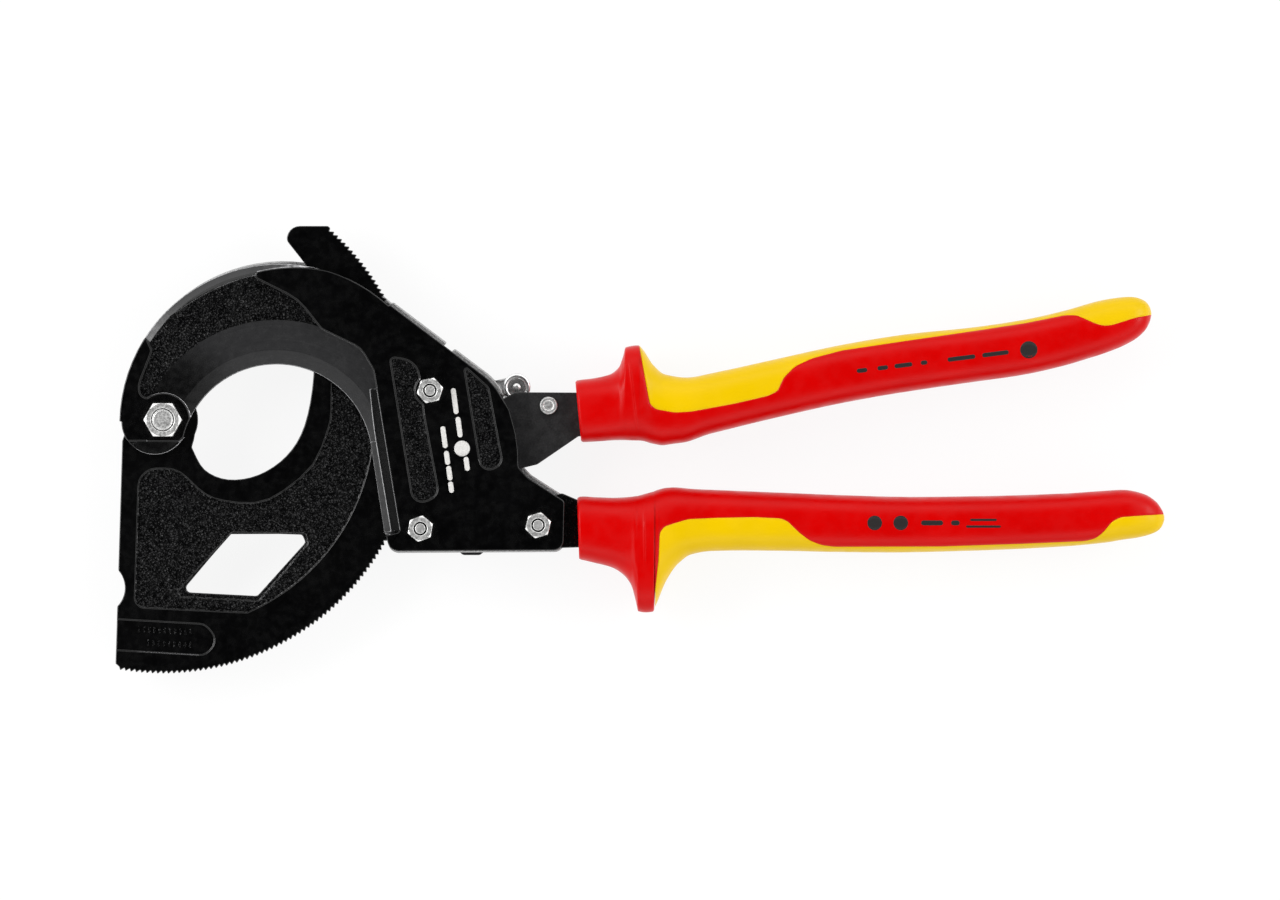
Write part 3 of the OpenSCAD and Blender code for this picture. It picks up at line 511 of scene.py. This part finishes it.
def finished(name, shape, finish, body, merge=0.002 * MM):
    """Turns a bmesh into a smooth, dressed object on a CAD body."""
    bmesh.ops.remove_doubles(shape, verts=shape.verts, dist=merge)
    bmesh.ops.dissolve_degenerate(shape, edges=shape.edges, dist=merge)
    bmesh.ops.recalc_face_normals(shape, faces=shape.faces)
    mesh = bpy.data.meshes.new(name)
    shape.to_mesh(mesh)
    shape.free()
    obj = bpy.data.objects.new(name, mesh)
    bpy.context.scene.collection.objects.link(obj)
    mesh.shade_smooth()
    dress(obj, finish)
    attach(obj, body)
    return obj


def crease(obj, degrees):
    """Keeps edges sharper than this angle crisp."""
    obj.data.set_sharp_from_angle(angle=math.radians(degrees))


def slopes(x, y):
    """Slopes for a smooth curve through points that never overshoots them."""
    step = np.diff(y) / np.diff(x)
    inner = np.where(
        step[:-1] * step[1:] > 0,
        2 * step[:-1] * step[1:] / np.where(step[:-1] + step[1:] == 0, 1, step[:-1] + step[1:]), 0,
    )
    return np.concatenate([[step[0]], inner, [step[-1]]])


def through(x, y, wanted):
    """The value at each wanted place of the smooth curve through the points."""
    m = slopes(x, y)
    i = np.clip(np.searchsorted(x, wanted) - 1, 0, len(x) - 2)
    h = x[i + 1] - x[i]
    t = np.clip((wanted - x[i]) / h, 0, 1)
    return (
        y[i] * (1 + 2 * t) * (1 - t) ** 2 + h * m[i] * t * (1 - t) ** 2
        + y[i + 1] * t * t * (3 - 2 * t) + h * m[i + 1] * t * t * (t - 1)
    )


# ---- grips ----

SQUARENESS = 0.72      # the CAD section is a circle with its sine and cosine raised to this
CAD_SIDES = 20
AROUND = 60            # points round half a section
GROOVE_WIDTH = 0.5 * MM
GROOVE_DEPTH = 0.22 * MM
RIDGE_WIDTH = 0.7 * MM
RIDGE_HEIGHT = 0.22 * MM
COLLAR_LENGTH = 9 * MM


def points_of(node):
    """Vertices of a CAD node as rows of x, y and z."""
    mesh = frame["nodes"][node].data
    co = np.zeros(len(mesh.vertices) * 3)
    mesh.vertices.foreach_get("co", co)
    return co.reshape(-1, 3)


def bulge(v):
    """Sine or cosine, squared off as in the CAD section."""
    return np.sign(v) * np.abs(v) ** SQUARENESS


class Grip:
    """Section and colour border of a grip, read from the rings and the shared wall of its CAD nodes."""

    def __init__(self, red, yellow, slant, ridge):
        self.slant = slant
        self.ridge = [at(*end) for end in ridge]
        both = np.concatenate([points_of(red), points_of(yellow)])
        place = both[:, 0].round(6)
        edge = bulge(math.cos(math.pi / CAD_SIDES))
        self.centre_z = middle_of(red, yellow).z
        stations = []
        for x in np.unique(place):
            ring = both[place == x]
            if len(np.unique(ring.round(6), axis=0)) >= CAD_SIDES:
                low, high = ring[:, 1].min(), ring[:, 1].max()
                thick = np.abs(ring[:, 2] - self.centre_z).max()
                stations.append((x, (low + high) / 2, (high - low) / 2 / edge, thick / edge))
        self.stations = np.array(stations)
        shared = {tuple(p) for p in points_of(red).round(6)} & {tuple(p) for p in points_of(yellow).round(6)}
        line = np.array(sorted({(x, y) for x, y, z in shared}))
        self.border = self.softened(line[np.concatenate([[True], np.diff(line[:, 0]) > 1e-5])])
        self.outside = 1 if points_of(yellow)[:, 1].mean() > points_of(red)[:, 1].mean() else -1

    @staticmethod
    def softened(line, step=0.3 * MM, reach=5):
        """The border at even steps, with its corners rounded."""
        along = np.concatenate([[0], np.cumsum(np.linalg.norm(np.diff(line, axis=0), axis=1))])
        even = np.arange(0, along[-1], step)
        fine = np.stack([np.interp(even, along, line[:, k]) for k in (0, 1)], axis=1)
        window = np.hanning(2 * reach + 3)[1:-1]
        padded = np.concatenate([
            2 * fine[0] - fine[reach:0:-1], fine, 2 * fine[-1] - fine[-2:-reach - 2:-1]
        ])
        return np.stack([np.convolve(padded[:, k], window / window.sum(), "valid") for k in (0, 1)], axis=1)

    def from_ridge(self, x, y):
        """Distance in plan from the crease across the hand guard."""
        a, b = self.ridge
        run = b - a
        share = np.clip(((x - a.x) * run.x + (y - a.y) * run.y) / run.length_squared, 0, 1)
        return np.hypot(x - a.x - share * run.x, y - a.y - share * run.y)

    def section(self, x):
        """Middle, half width and half thickness at each x."""
        s = self.stations
        return [through(s[:, 0], s[:, k], x) for k in (1, 2, 3)]

    def top_at(self, x, y):
        """Height of the front face."""
        middle, half, thick = self.section(np.array([x]))
        v = abs(y - middle[0]) / half[0]
        return self.centre_z + thick[0] * (1 - v ** (2 / SQUARENESS)) ** (SQUARENESS / 2)

    def places(self):
        """Where the rings are: closer together at the ends and where the border is steep."""
        start, end = self.stations[0, 0], self.stations[-1, 0]
        ends = (np.linspace(0, 1, 12) ** 2)[1:-1] * 5 * MM
        x = np.concatenate([
            np.arange(start, end, 0.9 * MM), [end], start + ends, end - ends, self.border[:, 0],
            np.arange(start + 12 * MM, start + 24 * MM, 0.2 * MM),
        ])
        x = np.unique(x[(x >= start) & (x <= end)])
        return x[np.concatenate([[True], np.diff(x) > 0.03 * MM])]

    def skin(self, name, node, outer, finish, body, slot):
        """One colour's moulding: the part of each section on its side of the border."""
        x = self.places()
        middle, half, thick = self.section(x)
        border = np.interp(x, self.border[:, 0], self.border[:, 1])
        share = self.outside * (border - middle) / half
        share[x < self.border[0, 0]] = 1.0
        turn = np.arccos(np.clip(np.sign(share) * np.abs(share) ** (1 / SQUARENESS), -1, 1))
        if outer:
            present = turn > 0.03
            half_angle, centre_angle = turn, 0.0
        else:
            present = turn < math.pi - 0.03
            half_angle, centre_angle = math.pi - turn, math.pi
        first, last = np.flatnonzero(present)[[0, -1]]
        rings = []
        for i in range(first, last + 1):
            a = centre_angle + half_angle[i] * np.linspace(-1, 1, 2 * AROUND + 1)
            y = middle[i] + self.outside * half[i] * bulge(np.cos(a))
            z = thick[i] * bulge(np.sin(a))
            near = np.hypot(x[i] - self.border[:, 0, None], y[None, :] - self.border[:, 1, None]).min(0)
            sink = GROOVE_DEPTH * np.clip(1 - near / GROOVE_WIDTH, 0, 1) ** 2
            raised = RIDGE_HEIGHT * np.clip(1 - self.from_ridge(x[i], y) / RIDGE_WIDTH, 0, 1) ** 2
            z = z * np.clip(1 + (raised - sink) / np.maximum(np.abs(z), 1e-6), 0, 1.2)
            fade = np.clip(1 - (x[i] - self.stations[0, 0]) / COLLAR_LENGTH, 0, 1)
            along = x[i] - self.slant * fade * (y - middle[i])
            rings.append(np.stack([along, y, self.centre_z + z], axis=1))
        obj = piece(name, [[Vector(p) for p in ring] for ring in rings], finish, body)
        crease(obj, 50)
        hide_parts(node)


# how far each collar's front edge slants across its width, and the two ends of the guard's crease
GUARDS = {
    "upper": (0.096, ((139.9, 17.2), (142.3, -3.1))),
    "lower": (0.031, ((144.2, -24.9), (144.5, -43.2))),
}

grips = {}
for side, body in (("upper", "upper_handle"), ("lower", "frame")):
    red, yellow = f"{side}_grip_red", f"{side}_grip_yellow"
    grips[side] = Grip(red, yellow, *GUARDS[side])
    grips[side].skin(f"{side}_red_moulding", red, False, "red", body, "grip_red")
    grips[side].skin(f"{side}_yellow_moulding", yellow, True, "yellow", body, "grip_yellow")


# ---- printed marks: plain bars and dots in place of lettering ----


INK_LIFT = 0.025 * MM
INK_THICKNESS = 0.03   # millimetres


def mark(shape, centre, length, width, turn, height_at):
    """A bar with round ends, or a dot, as a thin film that follows the surface under it."""
    radius = width / 2
    along = np.concatenate([
        -length / 2 + radius - radius * np.cos(np.linspace(0, math.pi / 2, 7)),
        np.linspace(-length / 2 + radius, length / 2 - radius, max(2, int(length / (0.8 * MM))))[1:-1],
        length / 2 - radius + radius * np.sin(np.linspace(0, math.pi / 2, 7)),
    ])
    rows = []
    for s in along:
        over = max(0.0, abs(s) - (length / 2 - radius))
        wide = max(math.sqrt(max(radius ** 2 - over ** 2, 0)), 0.01 * MM)
        row = []
        for t in np.linspace(-wide, wide, 5):
            x = centre.x + s * math.cos(turn) - t * math.sin(turn)
            y = centre.y + s * math.sin(turn) + t * math.cos(turn)
            row.append(shape.verts.new((x, y, height_at(x, y) + INK_LIFT)))
        rows.append(row)
    for a, b in zip(rows, rows[1:]):
        for k in range(len(a) - 1):
            shape.faces.new((a[k], b[k], b[k + 1], a[k + 1]))


def print_marks(name, marks, height_at, finish, body, thick=INK_THICKNESS):
    """Several marks as one piece; each is ((x, y), length, width, turn), in drawing mm and degrees."""
    shape = bmesh.new()
    for (x, y), length, width, turn in marks:
        mark(shape, at(x, y), length * MM, width * MM, math.radians(turn), height_at)
    obj = finished(name, shape, finish, body, merge=0.001 * MM)
    film = obj.modifiers.new("film", "SOLIDIFY")
    film.thickness = thick * MM
    film.offset = -1
    return obj


def ribs(start, end, count, length, width):
    """A row of short bars across the line from start to end."""
    run = (end[0] - start[0], end[1] - start[1])
    turn = math.degrees(math.atan2(run[1], run[0])) + 90
    shares = [i / (count - 1) for i in range(count)]
    return [((start[0] + run[0] * t, start[1] + run[1] * t), length, width, turn) for t in shares]


def raised(name, marks, floor, rise, body):
    """Plain cast bars that stand up from the floor of a sunk panel."""
    obj = print_marks(name, marks, lambda x, y: floor + rise * MM, "relief", body, thick=rise)
    soft = obj.modifiers.new("soft", "BEVEL")
    soft.width = 0.24 * MM
    soft.segments = 3


left_ribs = ribs((72.3, 13.2), (78.9, -21.8), 15, 3.4, 0.8)
right_ribs = ribs((94.4, 7.4), (98.4, -12.2), 8, 3.6, 0.8)
raised("body_ribs", left_ribs + right_ribs, SUNK_PANEL, 0.35, "frame")

upper_ribs = ribs((-7.4, -62.8), (8.2, -63.7), 11, 1.9, 0.6)
lower_ribs = ribs((-4.6, -66.9), (8.0, -67.6), 9, 1.9, 0.6)
raised("blade_ribs", upper_ribs + lower_ribs, BLADE_TOP - THUMB_PANEL_DEPTH, 0.28, "blade")


BODY_TURN = 97.6
body_marks = [((89.7, -8.6), 4.7, 4.7, 0)]
for (x, y), length in (
    ((86.4, -20.2), 3.4), ((85.9, -16.0), 4.4), ((85.2, -11.4), 4.2), ((84.3, -5.2), 6.6),
    ((91.1, -13.2), 4.2), ((88.8, -2.2), 6.2), ((87.5, 5.6), 7.8),
):
    body_marks.append(((x, y), length, 1.5, BODY_TURN))
print_marks("body_print", body_marks, lambda x, y: BODY_TOP, "white_ink", "frame")

UPPER_TURN = 7.2
upper_marks = [((259.6, 21.0), 5.2, 5.2, 0)]
for i, length in enumerate((3.2, 3.2, 5.4, 2.0)):
    upper_marks.append(((209.6 + 6.2 * i, 14.8 + 0.78 * i), length, 1.3, UPPER_TURN))
upper_marks += [((239.4, 18.5), 8.4, 1.3, UPPER_TURN), ((249.6, 19.8), 8.0, 1.3, UPPER_TURN)]
print_marks("upper_grip_print", upper_marks, grips["upper"].top_at, "black_ink", "upper_handle")

lower_marks = [((213.4, -30.9), 4.4, 4.4, 0), ((221.2, -30.9), 4.4, 4.4, 0)]
lower_marks += [((230.6, -30.9), 6.6, 1.5, 0), ((237.6, -30.9), 2.6, 1.5, 0)]
lower_marks += [((246.0, -30.0), 8.0, 0.7, 0), ((246.0, -32.0), 10.4, 0.7, 0)]
print_marks("lower_grip_print", lower_marks, grips["lower"].top_at, "black_ink", "frame")


# ---- springs ----

WIRE_SIDES = 14


def tube(name, path, radius, node, body):
    """Round wire along a path, in place of a CAD spring."""
    rings = []
    for i, p in enumerate(path):
        ahead = (path[min(i + 1, len(path) - 1)] - path[max(i - 1, 0)]).normalized()
        side = ahead.cross(Vector((0, 0, 1))).normalized()
        over = side.cross(ahead)
        rings.append([
            p + radius * (math.cos(a) * side + math.sin(a) * over)
            for a in (2 * math.pi * k / WIRE_SIDES for k in range(WIRE_SIDES))
        ])
    obj = piece(name, rings, "spring", body)
    crease(obj, 60)
    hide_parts(node)


def handle_coil():
    """A turn of wire round the spring pin, one leg under the rivet and a tail in the back frame."""
    turns, coil_r, wire_r = 1, 3.4 * MM, 0.8 * MM
    pin, rivet = middle_of("spring_pin"), middle_of("lever_rivet")
    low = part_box("handle_spring")[0].z + wire_r
    reach = Vector((rivet.x - pin.x, rivet.y - pin.y))
    shank = 1.6 * MM
    rest = shank + wire_r + 0.1 * MM
    last = math.atan2(reach.y, reach.x) - math.pi / 2 + math.asin((coil_r - rest) / reach.length)
    start = -math.pi / 2 - 2 * math.pi * turns
    pitch = 2 * wire_r + 0.02 * MM
    steps = 64 * turns
    coil = []
    for i in range(steps + 1):
        a = start + (last - start) * i / steps
        height = low + pitch * (a - start) / (2 * math.pi)
        coil.append(Vector((pin.x + coil_r * math.cos(a), pin.y + coil_r * math.sin(a), height)))
    tail = coil[0] + 4.2 * MM * Vector((math.sin(start), -math.cos(start), 0))
    foot = rivet.xy + rest * Vector((math.cos(last), math.sin(last))) + shank * reach.normalized()
    leg = Vector((foot.x, foot.y, coil[-1].z))
    tube("handle_coil", [tail, *coil, leg], wire_r, "handle_spring", "frame")


handle_coil()


# ---- floor, light and camera ----


def floor():
    """Pale paper that glows a little, so that it stays white under the dark top of the tent."""
    mesh = bpy.data.meshes.new("floor")
    half = 14.0
    corners = [(-half, -half, 0), (half, -half, 0), (half, half, 0), (-half, half, 0)]
    mesh.from_pydata(corners, [], [(0, 1, 2, 3)])
    obj = bpy.data.objects.new("floor", mesh)
    bpy.context.scene.collection.objects.link(obj)
    obj.location.z = -0.05 * MM
    f = Finish("floor_paper", (0.11, 0.11, 0.11), 0.9, specular=0.0)
    f.colour(f.mix(f.noise(0.6, 2), (0.1, 0.1, 0.1), (0.12, 0.12, 0.12)))
    f.shader.inputs["Emission Color"].default_value = (1, 1, 1, 1)
    f.shader.inputs["Emission Strength"].default_value = 0.88
    mesh.materials.append(f.material)


def sky():
    """A soft tent: bright half-way up, dimmer low down and dark overhead, so paint stays black."""
    world = bpy.data.worlds.new("tent")
    bpy.context.scene.world = world
    world.use_nodes = True
    tree = world.node_tree
    back = tree.nodes["Background"]
    place = tree.nodes.new("ShaderNodeTexCoord")
    parts = tree.nodes.new("ShaderNodeSeparateXYZ")
    tree.links.new(place.outputs["Generated"], parts.inputs[0])

    def by_height(low, high, at_low, at_high):
        node = tree.nodes.new("ShaderNodeMapRange")
        node.interpolation_type = "SMOOTHSTEP"
        tree.links.new(parts.outputs[2], node.inputs["Value"])
        for name, value in (
            ("From Min", low), ("From Max", high), ("To Min", at_low), ("To Max", at_high),
        ):
            node.inputs[name].default_value = value
        return node.outputs[0]

    both = tree.nodes.new("ShaderNodeMath")
    both.operation = "MULTIPLY"
    tree.links.new(by_height(0.58, 0.91, 2.15, 0.02), both.inputs[0])
    tree.links.new(by_height(0.12, 0.45, 0.35, 1.0), both.inputs[1])
    tree.links.new(both.outputs[0], back.inputs["Strength"])
    back.inputs["Color"].default_value = (1, 1, 1, 1)


def softbox(name, place, size, power):
    """A rectangular lamp that faces the tool."""
    light = bpy.data.lights.new(name, "AREA")
    light.shape = "RECTANGLE"
    light.size, light.size_y = size
    light.energy = power
    obj = bpy.data.objects.new(name, light)
    bpy.context.scene.collection.objects.link(obj)
    obj.location = place
    obj.rotation_mode = "QUATERNION"
    obj.rotation_quaternion = (-Vector(place)).to_track_quat("-Z", "Y")


def camera():
    """Straight above the tool, far enough away to flatten it as the long lens does."""
    distance = 5.0
    field = 384 * MM       # width that the frame covers at the tool
    data = bpy.data.cameras.new("camera")
    data.sensor_width = 36
    data.lens = data.sensor_width * (distance - middle_of("front_frame").z) / field
    data.clip_start, data.clip_end = 0.5, 60
    obj = bpy.data.objects.new("camera", data)
    bpy.context.scene.collection.objects.link(obj)
    obj.location = (0, 0, distance)
    bpy.context.scene.camera = obj


floor()
sky()
softbox("key_left", (-1.1, 0.35, 0.75), (0.9, 0.5), 9)
softbox("fill_right", (1.1, 0.2, 0.6), (0.7, 0.5), 5)
camera()
bpy.context.scene.view_settings.view_transform = "Standard"
